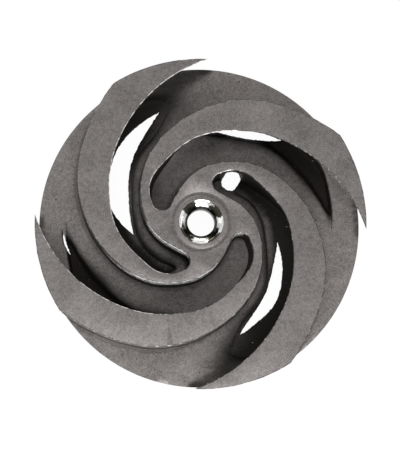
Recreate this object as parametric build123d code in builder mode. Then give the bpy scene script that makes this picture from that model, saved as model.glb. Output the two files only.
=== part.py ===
from build123d import *
import os
from math import cos, radians, sin

# Semi-open four-vane pump impeller, one grey-iron casting.
# Frame: the shaft axis is Z, Z = 0 is the rear hub face and the machined vane faces look to +Z.
# Millimetres and degrees. A station is (angle from the vane's tip, percent of the outer radius).

# ---- driving dimensions -------------------------------------------------------------------
outer_radius = 82.5          # turned outside radius of disc and vanes
rear_hub_height = 3.0        # rear hub face stands this far behind the disc
disc_thickness = 8.0         # back disc, from its rear face to the channel floor
vane_height = 24.0           # channel floor to the machined vane faces
vane_count = 4
tip_angle = -2.0             # where the first vane's tip points

rear_hub_radius = 24.0
rear_hub_fillet = 2.5        # hub root on the back of the disc
rim_chamfer = 0.8            # rear corner of the turned rim
channel_root_fillet = 1.2    # cast radius where the channel walls meet the floor
wall_draft = 1.0             # the convex wall's foot stands this far into the channel
end_draft = 0.3              # the same at the rounded inner end

shaft_bore_radius = 10.0
front_web = 12.0             # iron left in front of the shaft bore
key_width = 6.0
key_depth = 2.8
screw_hole_radius = 6.9      # clearance for an M12 screw
countersink_radius = 11.0
countersink_angle = 90.0
spot_ring_gap = 2.6          # land between the countersink and the shallow turned ring
spot_ring_width = 1.2
spot_ring_depth = 0.3

valley_depth = 5.5           # how far the floor drops along the concave wall
valley_lip = 1.2             # width of the rolled edge on the rim side

vent_station = (148.2, 35.9)
vent_radius = 4.2            # vent slot milled from the rear into one channel's inner end
vent_travel = 3.4            # centre to centre of the slot's round ends, along the radius
vent_roof = 5.0              # iron left between the slot's end and the vane face

# The concave wall runs from the tip inwards. Its foot lies further out than its top edge,
# so each vane overhangs its own channel, most of all at the tip.
concave_edge = [
    (-13, 108.8), (-1, 100.0), (12, 91.4), (25, 82.9), (40, 73.9), (60, 63.9), (80, 55.8),
    (95, 51.3), (110, 46.2), (125, 42.3), (140, 40.0), (151, 36.6), (160, 32.0),
]
concave_foot = [
    (-13, 118.5), (-1, 109.7), (12, 99.6), (25, 90.7), (40, 82.9), (60, 74.8), (80, 66.2),
    (95, 58.2), (110, 49.7), (125, 43.2), (140, 39.5), (151, 35.9), (160, 31.3),
]
convex_edge = [
    (-69.4, 108.5), (-55.8, 100.0), (-40, 90.5), (-18, 79.8), (5, 67.3), (27, 56.8), (50, 47.4),
    (70, 39.4), (90, 33.2), (117, 25.7), (140, 21.6), (152, 21.0),
]
channel_end = (166.5, 25.8)    # innermost point of the rounded channel end
channel_mouth = (-40, 114.0)   # point of the cutter outside the rim

# The valley beside the concave wall: tip at floor level and at full depth, the inner side as
# (angle, percent, width of the roll by which the floor turns down), the outer side, and the
# inner end. Two facing channels have a wide valley that starts softly and leaves only a
# rounded bead of floor along the convex wall, the other two have a short one.
wide_valley = {
    "start": [(-4, 84.2), (16, 81.5)],
    "inner": [(24, 68.6, 12.0), (30, 64.3, 8.0), (40, 60.9, 5.5), (50, 56.8, 4.5),
              (60, 51.2, 4.5), (70, 46.4, 4.5), (85, 42.2, 4.5), (100, 40.2, 4.5),
              (115, 37.3, 4.5), (130, 33.9, 4.5), (142, 31.0, 4.5)],
    "outer": [(27, 87.1), (36, 83.9), (50, 78.3), (62, 73.3), (72, 68.9), (82, 64.3),
              (95, 57.6), (110, 49.3), (125, 42.9), (140, 39.0)],
    "end": [(157, 29.8), (151, 29.8)],
}
short_valley = {
    "start": [(0, 82.7), (9, 82.7)],
    "inner": [(12, 80.0, 3.0), (20, 77.3, 5.5), (28, 74.4, 7.0), (36, 72.2, 6.5),
              (44, 70.2, 5.5), (54, 68.1, 4.5), (62, 64.7, 4.5), (70, 61.8, 4.0),
              (82, 59.8, 3.5)],
    "outer": [(12, 83.2), (20, 84.1), (27, 85.1), (36, 83.4), (44, 80.7), (54, 76.6),
              (62, 73.2), (72, 68.8), (82, 64.2)],
    "end": [(93, 58.9), (87, 58.9)],
}
# (depth as a share of the valley's, share of the roll and the lip that is left)
roll_steps = [(-0.05, 1.2), (0.04, 0.86), (0.16, 0.55), (0.36, 0.27), (0.64, 0.08), (1.0, 0.0)]

# Crescents where the valley floor is open right through the disc: first tip, inner side,
# outer side, last tip. Cores set by hand left the four channels unlike each other.
short_opening = ((48, 77.8), [(54.5, 70.2), (62, 65.3), (70.5, 62.5)],
                 [(54.5, 74.8), (62, 71.6), (72, 67.0)], (83, 62.3))
long_opening = ((20.5, 78.7),
                [(30, 70.2), (40, 64.0), (50, 58.6), (60, 53.0), (70, 48.1), (85, 43.8)],
                [(28, 77.1), (35, 75.7), (50, 71.4), (60, 67.4), (74, 61.3), (84, 53.8)],
                (98.5, 41.5))
narrow_opening = ((22.5, 72.2),
                  [(29, 66.8), (37, 62.8), (48, 58.5), (58, 54.5), (71.5, 51.2)],
                  [(29, 71.0), (36, 69.5), (44.6, 68.3), (54, 64.8), (62, 60.6), (70.5, 56.4)],
                  (82, 50.3))
tip_slit = ((3.2, 85.6), [(9, 83.9)], [(9, 85.7)], (14.5, 82.7))

# the vanes in turn: valley and openings of the channel behind each tip
channels = [
    (short_valley, [short_opening]),
    (wide_valley, [long_opening]),
    (short_valley, [short_opening, tip_slit]),
    (wide_valley, [narrow_opening]),
]

# ---- levels that follow from them ---------------------------------------------------------
disc_back = rear_hub_height
floor_level = disc_back + disc_thickness
face_level = floor_level + vane_height
bore_depth = face_level - front_web
cut_margin = 1.0             # cutters pass outer faces by this much
vane_pitch = 360 / vane_count


def at(station, shift=0.0):
    """Point at a station, moved outwards by shift."""
    angle, percent = station
    radius = outer_radius * percent / 100 + shift
    return (radius * cos(radians(angle)), radius * sin(radians(angle)))


def between(stations, share):
    """Station a share of the way from the first of a pair to the second."""
    (angle, percent), (last_angle, last_percent) = stations
    return (angle + (last_angle - angle) * share, percent + (last_percent - percent) * share)


def channel_section(height, concave, draft=0.0, end_shift=0.0):
    """Outline of a channel at one height, closed outside the rim."""
    with BuildSketch(Plane.XY.offset(height)) as section:
        with BuildLine():
            Spline(*[at(station) for station in concave])
            ThreePointArc(at(concave[-1]), at(channel_end, -end_shift), at(convex_edge[-1], draft))
            Spline(*[at(station, draft) for station in reversed(convex_edge)])
            ThreePointArc(at(convex_edge[0], draft), at(channel_mouth), at(concave[0]))
        make_face()
    return section.sketch


def crescent(first, inner, outer, last, height=0.0):
    """Crescent between two curves of points that share their tips."""
    with BuildSketch(Plane.XY.offset(height)) as section:
        with BuildLine():
            Spline(first, *inner, last)
            Spline(last, *reversed(outer), first)
        make_face()
    return section.sketch


def valley_cutter(valley):
    """Cutter for one valley: rolled edge above, steep sides below, sloping tips."""
    with BuildPart() as cutter:
        for down, out in roll_steps:
            inner = [at((angle, percent), -roll * out) for angle, percent, roll in valley["inner"]]
            outer = [at(station, valley_lip * out) for station in valley["outer"]]
            add(crescent(at(between(valley["start"], 1 - out)), inner, outer,
                         at(between(valley["end"], 1 - out)), floor_level - valley_depth * down))
        loft(ruled=True)
    return cutter.part


# ---- channel cutter: leaning walls with a cast radius at their feet -----------------------
with BuildPart() as channel:
    add(channel_section(floor_level, concave_foot, wall_draft, end_draft))
    add(channel_section(face_level + cut_margin, concave_edge))
    loft(ruled=True)
    foot_edges = channel.edges().group_by(Axis.Z)[0]
    wall_feet = [edge for edge in foot_edges if edge.center().length < outer_radius]
    fillet(wall_feet, channel_root_fillet)

# ---- the casting --------------------------------------------------------------------------
with BuildPart() as impeller:
    # turned blank: rear hub, disc and the block that the vanes are left standing in
    with BuildSketch():
        Circle(rear_hub_radius)
    extrude(amount=disc_back)
    with BuildSketch(Plane.XY.offset(disc_back)):
        Circle(outer_radius)
    extrude(amount=disc_thickness + vane_height)
    disc_back_circles = impeller.edges().filter_by(GeomType.CIRCLE).filter_by_position(
        Axis.Z, disc_back, disc_back).sort_by(SortBy.RADIUS)
    fillet(disc_back_circles[0], rear_hub_fillet)

    # four channels, each with its valley and its openings through the disc
    for number, (valley, openings) in enumerate(channels):
        turn = tip_angle + vane_pitch * number
        with Locations(Location((0, 0, 0), (0, 0, turn))):
            add(channel.part, mode=Mode.SUBTRACT)
            add(valley_cutter(valley), mode=Mode.SUBTRACT)
        for first, inner, outer, last in openings:
            with BuildSketch(Plane.XY.rotated((0, 0, turn))):
                add(crescent(at(first), [at(station) for station in inner],
                             [at(station) for station in outer], at(last)))
            extrude(amount=floor_level, mode=Mode.SUBTRACT)

    # shaft bore from the rear with its keyway, stopped by the front web
    with BuildSketch():
        Circle(shaft_bore_radius)
        with Locations((0, shaft_bore_radius)):
            Rectangle(key_width, 2 * key_depth)    # the inner half lies within the bore
    extrude(amount=bore_depth, mode=Mode.SUBTRACT)

    # screw hole and its polished countersink in the front web, with a turned ring round them
    with Locations((0, 0, face_level)):
        CounterSinkHole(screw_hole_radius, countersink_radius, front_web + cut_margin,
                        countersink_angle)
    spot_ring_inner = countersink_radius + spot_ring_gap
    with BuildSketch(Plane.XY.offset(face_level)):
        Circle(spot_ring_inner + spot_ring_width)
        Circle(spot_ring_inner, mode=Mode.SUBTRACT)
    extrude(amount=-spot_ring_depth, mode=Mode.SUBTRACT)

    # vent slot, milled from the rear into the inner end of the last channel
    with BuildSketch(Plane.XY.rotated((0, 0, tip_angle - vane_pitch))):
        with Locations(at(vent_station)):
            SlotCenterToCenter(vent_travel, 2 * vent_radius, rotation=vent_station[0])
    extrude(amount=face_level - vent_roof, mode=Mode.SUBTRACT)

    # broken corner round the back of the rim
    rear_rim = impeller.edges().filter_by(GeomType.CIRCLE).filter_by_position(
        Axis.Z, disc_back, disc_back).sort_by(SortBy.RADIUS)[-1]
    chamfer(rear_rim, rim_chamfer)

impeller.part.label = "impeller"
os.makedirs("parts", exist_ok=True)
export_step(impeller.part, "parts/impeller.step")
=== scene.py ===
import math

import bmesh
import bpy
from mathutils import Matrix, Vector, kdtree, noise


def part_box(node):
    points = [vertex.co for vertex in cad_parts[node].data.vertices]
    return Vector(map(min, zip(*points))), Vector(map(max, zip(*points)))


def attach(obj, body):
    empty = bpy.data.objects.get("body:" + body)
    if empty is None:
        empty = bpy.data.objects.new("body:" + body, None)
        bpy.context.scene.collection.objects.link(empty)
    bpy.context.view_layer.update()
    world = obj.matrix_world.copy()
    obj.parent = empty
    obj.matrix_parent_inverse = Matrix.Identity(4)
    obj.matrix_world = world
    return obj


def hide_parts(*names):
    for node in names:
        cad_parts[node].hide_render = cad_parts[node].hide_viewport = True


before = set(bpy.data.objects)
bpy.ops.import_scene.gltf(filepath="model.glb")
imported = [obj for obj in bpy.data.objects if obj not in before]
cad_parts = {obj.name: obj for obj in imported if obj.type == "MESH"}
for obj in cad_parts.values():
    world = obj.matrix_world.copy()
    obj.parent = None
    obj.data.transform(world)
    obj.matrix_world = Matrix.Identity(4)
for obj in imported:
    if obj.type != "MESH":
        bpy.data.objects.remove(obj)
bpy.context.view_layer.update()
vane_face_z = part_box("impeller")[1][2]


# ---- camera -------------------------------------------------------------------------------
# The impeller lies on its rear hub and is looked down on from a little in front of the shaft
# axis, with the screw hole a little above the middle of the frame. The focal length and the
# hole's place are in pixels of the frame.
CAMERA_TILT = math.radians(6.34)
CAMERA_TURN = math.radians(-19.04)
CAMERA_DISTANCE = 0.6013
FRAME_WIDTH = 400
FRAME_HEIGHT = 450
FOCAL_LENGTH = 1210.5
HOLE_ACROSS = 201.4
HOLE_DOWN = 221.6

towards_camera = Vector((
    math.sin(CAMERA_TURN) * math.sin(CAMERA_TILT),
    -math.cos(CAMERA_TURN) * math.sin(CAMERA_TILT),
    math.cos(CAMERA_TILT),
))
camera_right = Vector((0, 1, 0)).cross(towards_camera).normalized()
camera_up = towards_camera.cross(camera_right)
hub_centre = Vector((0, 0, vane_face_z))

camera = bpy.data.objects.new("camera", bpy.data.cameras.new("camera"))
camera.matrix_world = Matrix.Translation(hub_centre + towards_camera * CAMERA_DISTANCE) @ Matrix((
    camera_right, camera_up, towards_camera)).transposed().to_4x4()
camera.data.sensor_fit = "VERTICAL"
camera.data.lens = camera.data.sensor_height * FOCAL_LENGTH / FRAME_HEIGHT
camera.data.shift_x = (FRAME_WIDTH / 2 - HOLE_ACROSS) / FRAME_HEIGHT
camera.data.shift_y = (HOLE_DOWN - FRAME_HEIGHT / 2) / FRAME_HEIGHT
bpy.context.collection.objects.link(camera)
bpy.context.scene.camera = camera


# ---- impeller casting ---------------------------------------------------------------------
# One sand casting in grey iron. Its vane faces are milled flat in one cut, its rim, rear hub
# and bore are turned, and the channels keep their rough cast skin. The solid's own faces are
# cut finer here, so that the uneven skin and the ragged edges are in the mesh itself.
NOISE_SEED = 7
FACED, CAST, TURNED, CONE, BURR_HIGHLIGHT, SHADED_EDGE = range(6)

casting = bpy.data.objects.new("casting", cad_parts["impeller"].data.copy())
bpy.context.collection.objects.link(casting)
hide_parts("impeller")
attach(casting, "root")

noise.seed_set(NOISE_SEED)
iron = bmesh.new()
iron.from_mesh(casting.data)
casting.data.materials.clear()
bmesh.ops.remove_doubles(iron, verts=iron.verts, dist=2e-6)
bmesh.ops.dissolve_limit(iron, angle_limit=math.radians(0.2), verts=iron.verts, edges=iron.edges)
bmesh.ops.triangulate(iron, faces=iron.faces, ngon_method="BEAUTY")

# which faces are machined and which are cast
UPRIGHT = 0.99
FACE_CUT = 0.0004
COUNTERSINK_RADIUS = 0.0111
COUNTERSINK_DEPTH = 0.0045
GROOVE_RADIUS = 0.0149
GROOVE_DEPTH = 0.001
RIM_RADIUS = 0.08245
HUB_FACE_RADIUS = 0.0242
HUB_FACE_TOP = 1e-5
BORE_RADIUS = 0.0135
REAR_HUB_HEIGHT = 0.003


def finish_of(face):
    """Which of the impeller's finishes a face of the solid has."""
    centre = face.calc_center_median()
    radius = math.hypot(centre.x, centre.y)
    if face.normal.z > UPRIGHT and centre.z > vane_face_z - FACE_CUT:
        return FACED
    if radius < COUNTERSINK_RADIUS and centre.z > vane_face_z - COUNTERSINK_DEPTH:
        return CONE
    if radius < GROOVE_RADIUS and centre.z > vane_face_z - GROOVE_DEPTH:
        return FACED
    if radius > RIM_RADIUS or (centre.z < HUB_FACE_TOP and radius < HUB_FACE_RADIUS):
        return TURNED
    if radius < HUB_FACE_RADIUS and (radius < BORE_RADIUS or centre.z < REAR_HUB_HEIGHT):
        return TURNED
    return CAST


for face in iron.faces:
    face.material_index = finish_of(face)

# the cast faces are cut until no edge is long, and flat ones are kept evenly meshed
LONGEST_EDGE = 0.0026
ROUNDS_OF_CUTS = 6
FLAT = 0.002


def is_cast(faces):
    """Whether all these faces have the cast skin."""
    return all(face.material_index == CAST for face in faces)


def is_fold(edge, angle):
    """Whether the two faces at an edge are folded by more than this angle."""
    return len(edge.link_faces) == 2 and edge.calc_face_angle() > angle


def cut_to_triangles():
    """Cut the faces that have more than three corners."""
    many_sided = [f for f in iron.faces if len(f.verts) > 3]
    bmesh.ops.triangulate(iron, faces=many_sided, ngon_method="BEAUTY")


for _ in range(ROUNDS_OF_CUTS):
    long_edges = [e for e in iron.edges if e.calc_length() > LONGEST_EDGE
                  and any(f.material_index == CAST for f in e.link_faces)]
    bmesh.ops.subdivide_edges(iron, edges=long_edges, cuts=1)
    cut_to_triangles()
    flat_edges = [e for e in iron.edges if len(e.link_faces) == 2 and e.calc_face_angle() < FLAT
                  and is_cast(e.link_faces)]
    flat_faces = list(dict.fromkeys(f for e in flat_edges for f in e.link_faces))
    bmesh.ops.beautify_fill(iron, faces=flat_faces, edges=flat_edges, method="AREA")

# the rims of the windows are ragged, so their edges are cut shorter still
RAGGED_EDGE = 0.0013
SHARP = math.radians(35)
ragged_edges = [e for e in iron.edges if e.calc_length() > RAGGED_EDGE
                and is_fold(e, SHARP) and is_cast(e.link_faces)]
bmesh.ops.subdivide_edges(iron, edges=ragged_edges, cuts=1)
cut_to_triangles()

# the milling cutter leaves a narrow ragged break along the edges of the vane faces: bare metal
# with a painted highlight where the overhanging edges face right, and painted dark shade elsewhere
EDGE_BREAK = 0.00032
EDGE_DROP = 0.00024
DROP_VARIES = 0.8
DROPS_PER_METRE = 700
EDGE_WAVER = 0.00016
WAVERS_PER_METRE = 1100
HUB_RING_RADIUS = 0.017
vane_faces = [f for f in iron.faces if f.material_index == FACED]
broken = bmesh.ops.inset_region(iron, faces=vane_faces, thickness=EDGE_BREAK,
                                use_even_offset=True, use_boundary=True)
edge_verts = {v for f in broken["faces"] for v in f.verts
              if any(g.material_index in (CAST, TURNED) for g in v.link_faces)}
for vert in edge_verts:
    if vert.co.xy.length > HUB_RING_RADIUS:
        side = noise.noise_vector(vert.co * WAVERS_PER_METRE)
        vert.co.x += EDGE_WAVER * side.x
        vert.co.y += EDGE_WAVER * side.y
        vert.co.z -= EDGE_DROP * (1 + DROP_VARIES * noise.noise(vert.co * DROPS_PER_METRE))
iron.normal_update()
overhangs = []
outer_edges = []
for face in broken["faces"]:
    centre = face.calc_center_median()
    if centre.xy.length > HUB_RING_RADIUS:
        inward = face.normal.xy.dot(centre.xy) < 0
        # painted highlight on the edges that face right, painted shade on all the other edges
        face.material_index = BURR_HIGHLIGHT if inward and face.normal.x > 0 else SHADED_EDGE
        edges = overhangs if inward else outer_edges
        edges.extend(v.co.xy.to_3d() for v in face.verts)

# painted shade under the overhanging walls, in a band where the two wide valleys start, and
# along the feet of the walls that face outwards; turns are degrees past a wide valley's tip
SHADE_TOP = 0.0130
WIDE_TIP = 88
BEFORE_TIP = 20
HALF_TURN = 180
HOLLOW_FROM = 7
HOLLOW_WIDTH = 0.0165
HOLLOW_FADE = 0.45
HOLLOW_NARROWEST = 0.42
NARROW_RADIUS = 0.026
WIDENS_OVER = 0.024
TIP_SHADE_FROM = -10
TIP_SHADE_TO = 42
TIP_SHADE_GROWS = 24
TIP_SHADE_INSIDE = 0.050
TIP_SHADE_WIDTH = 0.013
FOOT_SHADE_WIDTH = 0.0045


def search_tree(places):
    """Tree that finds the nearest of these places."""
    tree = kdtree.KDTree(len(places))
    for number, place in enumerate(places):
        tree.insert(place, number)
    tree.balance()
    return tree


def share(value):
    """This value, kept from 0 to 1."""
    return min(1.0, max(0.0, value))


overhang_tree = search_tree(overhangs)
outer_tree = search_tree(outer_edges)
undercut_shade = iron.verts.layers.float.new("undercut_shade")
tip_shade = iron.verts.layers.float.new("tip_shade")
foot_shade = iron.verts.layers.float.new("foot_shade")
for vert in iron.verts:
    if vert.co.z < SHADE_TOP:
        place = vert.co.xy.to_3d()
        overhang_distance = overhang_tree.find(place)[2]
        outer_distance = outer_tree.find(place)[2]
        turn = math.degrees(math.atan2(place.y, place.x)) - WIDE_TIP
        turn = (turn + BEFORE_TIP) % HALF_TURN - BEFORE_TIP
        narrowing = max(HOLLOW_NARROWEST, share((place.length - NARROW_RADIUS) / WIDENS_OVER))
        depth_under = 1 - overhang_distance / (HOLLOW_WIDTH * narrowing)
        vert[undercut_shade] = share((turn - HOLLOW_FROM) / TIP_SHADE_GROWS) * share(depth_under / HOLLOW_FADE)
        width = TIP_SHADE_WIDTH * share((turn - TIP_SHADE_FROM) / TIP_SHADE_GROWS)
        if width > 0 and turn < TIP_SHADE_TO and place.length > TIP_SHADE_INSIDE:
            vert[tip_shade] = share(1 - overhang_distance / width)
        vert[foot_shade] = share(1 - outer_distance / FOOT_SHADE_WIDTH)

# sand texture: the rolled floors are eased, the skin swells and dips a little, and sharp cast
# edges crumble
SMOOTHING_ROUNDS = 6
SWELL = 0.00020
SWELLS_PER_METRE = 70
LUMP = 0.00009
LUMPS_PER_METRE = 330
CRUMBLE = 0.00042
CRUMBS_PER_METRE = 900
CRUMBLE_UP = 0.4
iron.normal_update()
crisp = {v for e in iron.edges if is_fold(e, SHARP) for v in e.verts}
cast_verts = [v for v in iron.verts if is_cast(v.link_faces)]
soft_verts = [v for v in cast_verts if v not in crisp]
for _ in range(SMOOTHING_ROUNDS):
    bmesh.ops.smooth_vert(iron, verts=soft_verts, factor=0.5,
                          use_axis_x=True, use_axis_y=True, use_axis_z=True)
iron.normal_update()
moves = []
for vert in cast_verts:
    if vert in crisp:
        move = noise.noise_vector(vert.co * CRUMBS_PER_METRE) * CRUMBLE
        move.z *= CRUMBLE_UP
    else:
        swell = noise.fractal(vert.co * SWELLS_PER_METRE, 1.0, 2.0, 2) * SWELL
        lumps = noise.noise(vert.co * LUMPS_PER_METRE) * LUMP
        move = vert.normal * (swell + lumps)
    moves.append((vert, move))
for vert, move in moves:
    vert.co += move
for face in iron.faces:
    face.smooth = face.material_index != FACED
iron.to_mesh(casting.data)
iron.free()
casting.data.set_sharp_from_angle(angle=SHARP)


class Value:
    """A shader value that Python's operators can work on."""

    def __init__(self, socket):
        self.socket = socket
        self.tree = socket.id_data

    @staticmethod
    def feed(node, inputs):
        """Give a node's sockets their numbers, colours or links."""
        for name, value in inputs.items():
            if isinstance(value, Value):
                value.tree.links.new(value.socket, node.inputs[name])
            else:
                node.inputs[name].default_value = value

    @staticmethod
    def node(tree, kind, settings, inputs):
        """A new node: its settings first, then its sockets."""
        made = tree.nodes.new("ShaderNode" + kind)
        for name, setting in settings.items():
            setattr(made, name, setting)
        Value.feed(made, inputs)
        return made

    def maths(self, operation, first, second=0.0):
        made = self.node(self.tree, "Math", {"operation": operation}, {0: first, 1: second})
        return Value(made.outputs[0])

    def __add__(self, other):
        return self.maths("ADD", self, other)

    def __radd__(self, other):
        return self.maths("ADD", other, self)

    def __sub__(self, other):
        return self.maths("SUBTRACT", self, other)

    def __rsub__(self, other):
        return self.maths("SUBTRACT", other, self)

    def __mul__(self, other):
        return self.maths("MULTIPLY", self, other)

    def __rmul__(self, other):
        return self.maths("MULTIPLY", other, self)

    def parts(self):
        """The X, Y and Z of this vector."""
        made = self.node(self.tree, "SeparateXYZ", {}, {0: self})
        return [Value(output) for output in made.outputs]

    def grain(self, size, detail=3.0):
        """Noise at this place with features of about this size in metres."""
        made = self.node(self.tree, "TexNoise", {},
                         {"Vector": self, "Scale": 1 / size, "Detail": detail})
        return Value(made.outputs["Fac"])

    def between(self, low, high):
        """0 at the low value, 1 at the high one, smooth between them."""
        made = self.node(self.tree, "MapRange", {"interpolation_type": "SMOOTHSTEP"},
                         {"Value": self, "From Min": low, "From Max": high})
        return Value(made.outputs[0])

    def spread(self):
        """Noise, which keeps near the middle, spread over 0 to 1."""
        return self.between(0.3, 0.7)

    def tint(self, dark, light):
        """Colour this share of the way from the dark to the light one."""
        made = self.node(self.tree, "Mix", {"data_type": "RGBA"}, {0: self, 6: dark, 7: light})
        return Value(made.outputs[2])

    def relief(self, strength, distance):
        """Normal of a surface of this height."""
        made = self.node(self.tree, "Bump", {},
                         {"Strength": strength, "Distance": distance, "Height": self})
        return Value(made.outputs[0])


def finish(name):
    """A new material on the casting: its shader and the place on the iron."""
    material = bpy.data.materials.new(name)
    material.use_nodes = True
    tree = material.node_tree
    casting.data.materials.append(material)
    place = Value(Value.node(tree, "TexCoord", {}, {}).outputs["Object"])
    return tree.nodes["Principled BSDF"], place


def painted_shade_mark(tree, name):
    """How strongly the mesh is marked with this kind of painted shade."""
    return Value(Value.node(tree, "Attribute", {"attribute_name": name}, {}).outputs["Fac"])


def mottle(sand, blotch, cloud):
    """Uneven tone of bare iron."""
    return 0.5 * sand.spread() + 0.25 * blotch.spread() + 0.25 * cloud.spread()


# milled vane faces
MILLED_DARK = (0.082, 0.074, 0.071, 1)
MILLED_LIGHT = (0.255, 0.236, 0.229, 1)
MILLED_PIT = (0.025, 0.022, 0.020, 1)
SCRATCH_COLOUR = (0.5, 0.48, 0.46, 1)
SCRATCH_TURN = math.radians(37)
SCRATCH_LENGTH = 0.012
SCRATCH_WIDTH = 0.00035
shader, place = finish("milled_iron")
sand = place.grain(0.00055, 4.0)
blotch = place.grain(0.0022)
pits = place.grain(0.0011, 2.0).between(0.70, 0.75)
stretched = Value(Value.node(place.tree, "Mapping", {}, {
    "Vector": place, "Rotation": (0, 0, SCRATCH_TURN),
    "Scale": (1 / SCRATCH_LENGTH, 1 / SCRATCH_WIDTH, 1 / SCRATCH_LENGTH)}).outputs[0])
scratch = stretched.grain(1.0, 2.0).between(0.70, 0.74) * place.grain(0.02, 1.0).between(0.5, 0.6)
colour = mottle(sand, blotch, place.grain(0.018)).tint(MILLED_DARK, MILLED_LIGHT)
colour = pits.tint(colour, MILLED_PIT)
colour = (0.6 * scratch).tint(colour, SCRATCH_COLOUR)
Value.feed(shader, {"Base Color": colour, "Metallic": 0.35, "Roughness": 0.45 + 0.2 * blotch,
                    "Normal": (sand + 0.6 * blotch - pits).relief(0.45, 0.00016)})

# sandy cast skin: painted shade down the walls, black painted shade in the valleys, under the
# overhangs and at the wall feet, and a painted highlight on the upper walls in front of the hub
SKIN_DARK = (0.108, 0.098, 0.094, 1)
SKIN_LIGHT = (0.335, 0.311, 0.300, 1)
SKIN_PIT = (0.022, 0.019, 0.017, 1)
PAINTED_SHADE_COLOUR = (0.010, 0.008, 0.006, 1)
FLECK_COLOUR = (0.7, 0.69, 0.66, 1)
FRONT_HIGHLIGHT_COLOUR = (0.95, 0.94, 0.93, 1)
shader, place = finish("cast_skin")
facing = Value(Value.node(place.tree, "NewGeometry", {}, {}).outputs["Normal"])
across, along, up = place.parts()
east, north, level = facing.parts()
sand = place.grain(0.0007, 4.0)
blotch = place.grain(0.0026)
cloud = place.grain(0.020)
pits = place.grain(0.0013, 2.0).between(0.69, 0.75)

# painted shade: the skin below the floor level is dark, most of all under the overhangs
in_valley = 1 - up.between(0.0084, 0.0110)
in_valley = in_valley * (0.34 + 0.66 * painted_shade_mark(place.tree, "undercut_shade"))
tip_shaded = painted_shade_mark(place.tree, "tip_shade").between(0.0, 0.9)
foot_shaded = painted_shade_mark(place.tree, "foot_shade").between(0.1, 0.9)
unshaded = (1 - in_valley) * (1 - 0.85 * tip_shaded) * (1 - 0.75 * foot_shaded)
shaded = 1 - unshaded
# painted shade: steep walls darker, outward walls less so except at their feet, near black where
# shaded
steep = 1 - level.between(0.25, 0.85)
outward = (east * across + north * along).between(-0.004, 0.004)
foot = 1 - up.between(0.015, 0.027)
shade = steep * (0.92 - outward * (0.42 - 0.40 * foot)) * (1 - shaded) + 0.96 * shaded

flecks = in_valley * place.grain(0.0014, 1.0).between(0.775, 0.80)
distance = Value(Value.node(place.tree, "VectorMath", {"operation": "LENGTH"},
                            {0: place}).outputs["Value"])
# painted highlight: near white on the upper walls near the hub that face the front lamp
near_hub = 1 - distance.between(0.053, 0.057)
to_front = (0 - north).between(0.36, 0.60)
upper_wall = (up + 0.006 * cloud).between(0.0225, 0.0265)
front_highlight = place.grain(0.0016).between(0.40, 0.50) * upper_wall * outward * to_front * near_hub

colour = mottle(sand, blotch, cloud).tint(SKIN_DARK, SKIN_LIGHT)
colour = pits.tint(colour, SKIN_PIT)
colour = shade.tint(colour, PAINTED_SHADE_COLOUR)
colour = flecks.tint(colour, FLECK_COLOUR)
colour = front_highlight.tint(colour, FRONT_HIGHLIGHT_COLOUR)
Value.feed(shader, {"Base Color": colour, "Metallic": 0.3 * (1 - shaded) * (1 - front_highlight),
                    "Specular IOR Level": 0.12, "Roughness": 0.5 + 0.22 * blotch,
                    "Normal": (sand + 0.8 * blotch - pits).relief(0.6, 0.00024)})

# turned rim, rear hub and bore
TURNED_DARK = (0.13, 0.122, 0.116, 1)
TURNED_LIGHT = (0.27, 0.258, 0.248, 1)
shader, place = finish("turned_iron")
sand = place.grain(0.0006)
Value.feed(shader, {"Base Color": sand.spread().tint(TURNED_DARK, TURNED_LIGHT), "Metallic": 0.7,
                    "Roughness": 0.36 + 0.15 * sand, "Normal": sand.relief(0.3, 0.0001)})

# polished countersink, with painted dark reflections in four patches between the front, back and
# sides
POLISHED_DARK = (0.62, 0.62, 0.61, 1)
POLISHED_LIGHT = (0.86, 0.86, 0.85, 1)
DARK_REFLECTION_COLOUR = (0.045, 0.043, 0.032, 1)
PATCHES = 4
PATCH_START = 0.5
PATCH_WAVER = 5
shader, place = finish("bright_cone")
smear = place.grain(0.003)
across, along, _ = place.parts()
waver = PATCH_WAVER * (place.grain(0.0022, 4.0) - 0.5)
turn = PATCHES * along.maths("ARCTAN2", along, across) + PATCH_START + waver
# painted reflection: dark on the cone's four diagonals
dark_reflection = 1 - turn.maths("COSINE", turn).between(-0.35, 0.30)
colour = smear.spread().tint(POLISHED_DARK, POLISHED_LIGHT)
Value.feed(shader, {"Base Color": dark_reflection.tint(colour, DARK_REFLECTION_COLOUR), "Metallic": 1.0,
                    "Roughness": 0.10 + 0.08 * smear, "Normal": smear.relief(0.35, 0.00016)})

# bare metal on the edges that the cutter broke, with a painted highlight on those that face right
BURR_HIGHLIGHT_DARK = (0.16, 0.15, 0.145, 1)
BURR_HIGHLIGHT_LIGHT = (0.66, 0.64, 0.63, 1)
shader, place = finish("burr_and_highlight")
flecks = place.grain(0.0022).between(0.36, 0.60)
Value.feed(shader, {"Base Color": flecks.tint(BURR_HIGHLIGHT_DARK, BURR_HIGHLIGHT_LIGHT), "Metallic": 0.6,
                    "Roughness": 0.45, "Normal": flecks.relief(0.3, 0.0001)})

# painted shade: dark broken edges wherever they do not face right
EDGE_SHADE_DARK = (0.030, 0.026, 0.024, 1)
EDGE_SHADE_LIGHT = (0.30, 0.29, 0.28, 1)
shader, place = finish("shaded_edge")
flecks = place.grain(0.0020).between(0.52, 0.66)
Value.feed(shader, {"Base Color": flecks.tint(EDGE_SHADE_DARK, EDGE_SHADE_LIGHT), "Metallic": 0.3,
                    "Roughness": 0.6, "Normal": flecks.relief(0.3, 0.0001)})


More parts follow.
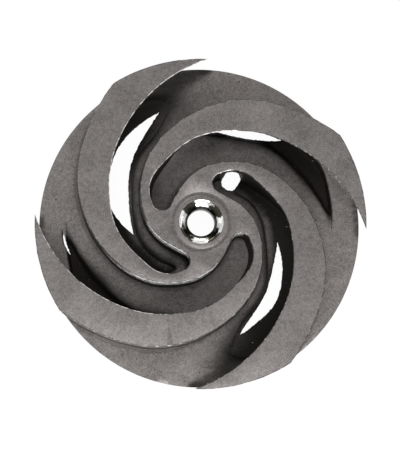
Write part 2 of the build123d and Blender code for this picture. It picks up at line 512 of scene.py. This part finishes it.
# ---- table --------------------------------------------------------------------------------
# A plain white table that the impeller lies on. The camera, polished iron and glass see it
# as even white, and it keeps a faint shadow of the impeller.
TABLE_HALF = 3.0
TABLE_PAINT = (0.8, 0.8, 0.8, 1)
TABLE_GLOW = 1.03
GLOW_SHARE = 0.94
table_mesh = bpy.data.meshes.new("table")
corners = [(x * TABLE_HALF, y * TABLE_HALF, 0) for x, y in ((-1, -1), (1, -1), (1, 1), (-1, 1))]
table_mesh.from_pydata(corners, [], [(0, 1, 2, 3)])
table = bpy.data.objects.new("table", table_mesh)
bpy.context.collection.objects.link(table)


def sees_white(tree):
    """1 for the rays that see the background as white."""
    rays = Value.node(tree, "LightPath", {}, {}).outputs
    seen = Value(rays["Is Camera Ray"]) + Value(rays["Is Glossy Ray"])
    return seen + Value(rays["Is Transmission Ray"])


white = bpy.data.materials.new("white_table")
white.use_nodes = True
tree = white.node_tree
tree.nodes.clear()
paint = Value.node(tree, "BsdfDiffuse", {}, {"Color": TABLE_PAINT})
glow = Value.node(tree, "Emission", {}, {"Strength": TABLE_GLOW})
blend = Value.node(tree, "MixShader", {}, {
    0: GLOW_SHARE * sees_white(tree), 1: Value(paint.outputs[0]), 2: Value(glow.outputs[0])})
Value.node(tree, "OutputMaterial", {}, {"Surface": Value(blend.outputs[0])})
table_mesh.materials.append(white)


# ---- studio light -------------------------------------------------------------------------
# A small key lamp and a soft box above light the vane faces, and low screens in front,
# behind and at both sides light the walls. The room is brighter overhead than at the sides.
SKY_LOWEST = 0.04
SKY_RISE = 0.46
world = bpy.data.worlds.new("studio")
bpy.context.scene.world = world
world.use_nodes = True
tree = world.node_tree
_, _, up = Value(Value.node(tree, "TexCoord", {}, {}).outputs["Generated"]).parts()
sky = SKY_LOWEST + SKY_RISE * up.between(0.15, 0.65)
Value.feed(tree.nodes["Background"], {"Color": (1, 1, 1, 1),
                                      "Strength": sky + (1 - sky) * sees_white(tree)})


def screen(name, place, width, height, watts):
    """A soft rectangular lamp that faces the impeller."""
    lamp = bpy.data.lights.new(name, "AREA")
    lamp.shape = "RECTANGLE"
    lamp.size = width
    lamp.size_y = height
    lamp.energy = watts
    holder = bpy.data.objects.new(name, lamp)
    holder.location = place
    holder.rotation_euler = (hub_centre - Vector(place)).to_track_quat("-Z", "Y").to_euler()
    bpy.context.collection.objects.link(holder)
    return holder


key = screen("key", place=(-0.11, 0.20, 0.80), width=0.16, height=0.16, watts=1.3)
key.visible_glossy = False
screen("soft_box", place=(-0.03, -0.30, 0.45), width=0.30, height=0.24, watts=1.0)
screen("front_screen", place=(0.05, -0.95, 0.14), width=0.55, height=0.18, watts=10.0)
screen("back_screen", place=(-0.35, 0.90, 0.12), width=0.40, height=0.18, watts=3.0)
screen("right_screen", place=(0.95, 0.0, 0.10), width=0.35, height=0.15, watts=0.8)
screen("left_screen", place=(-0.95, 0.0, 0.10), width=0.25, height=0.15, watts=0.5)

bpy.context.scene.view_settings.view_transform = "Standard"
